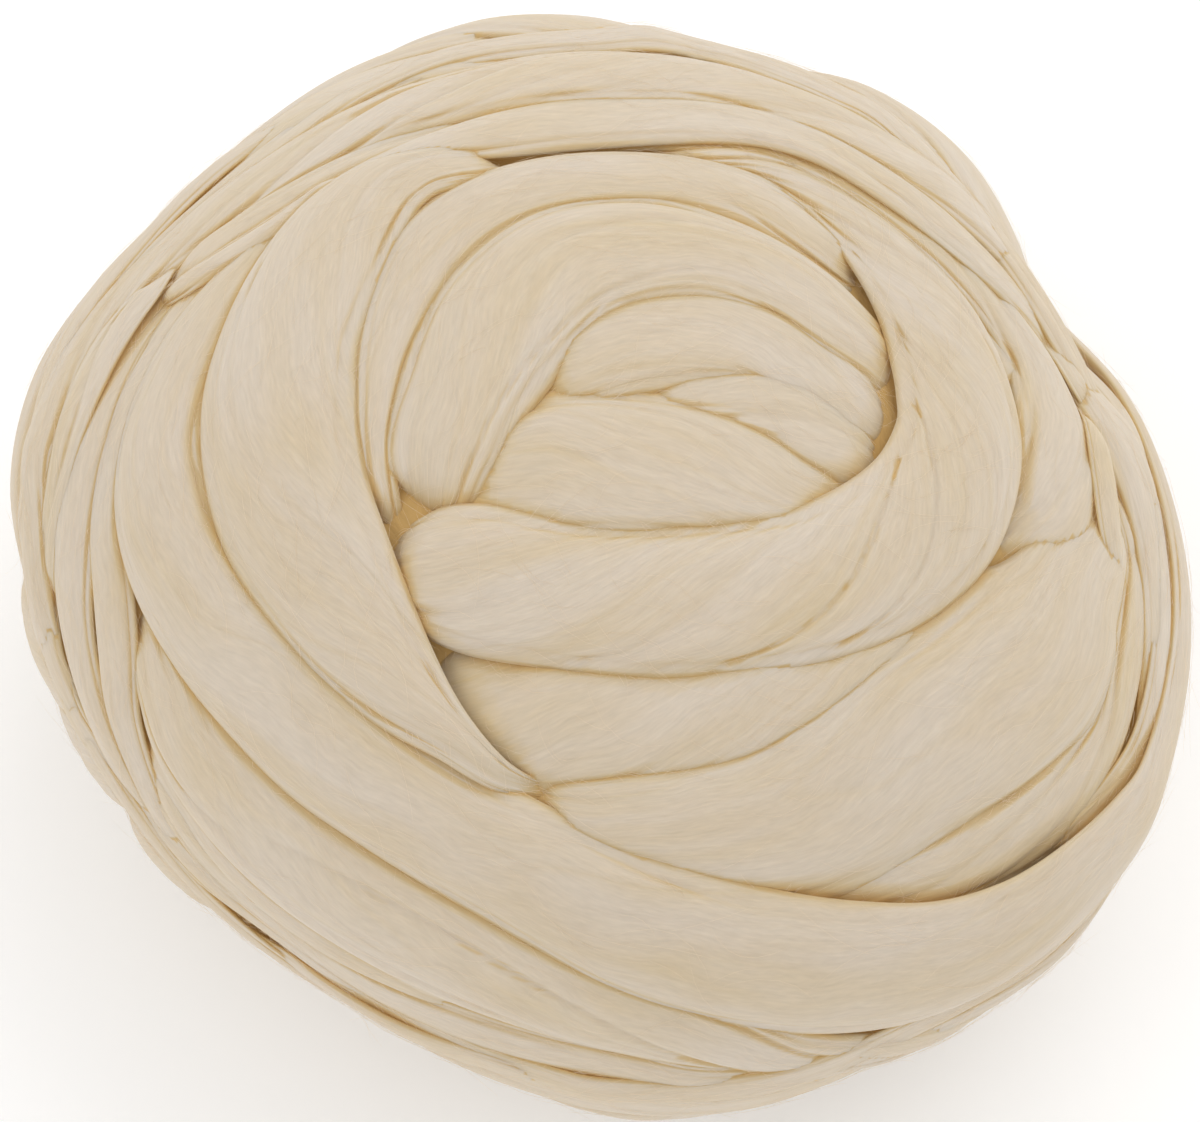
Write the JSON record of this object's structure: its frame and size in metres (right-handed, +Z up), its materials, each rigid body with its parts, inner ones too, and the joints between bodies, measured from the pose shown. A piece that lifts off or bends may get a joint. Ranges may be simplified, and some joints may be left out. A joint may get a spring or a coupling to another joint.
{
  "type": "ball of wool roving",
  "caption": "Hand-wound ball of undyed wool roving, with broad soft turns curling round an eye on its upper face.",
  "frame": {"origin": "on the table under the ball, at the middle of its plan", "axes": "+Z up out of the flat spot, -Y towards the side to which the ball's face leans"},
  "size_m": [0.2214, 0.2128, 0.1552],
  "materials": {
    "undyed_wool": "soft matt cream wool fibre"
  },
  "bodies": {
    "root": {"roving_ball": "undyed_wool"}
  },
  "joints": []
}
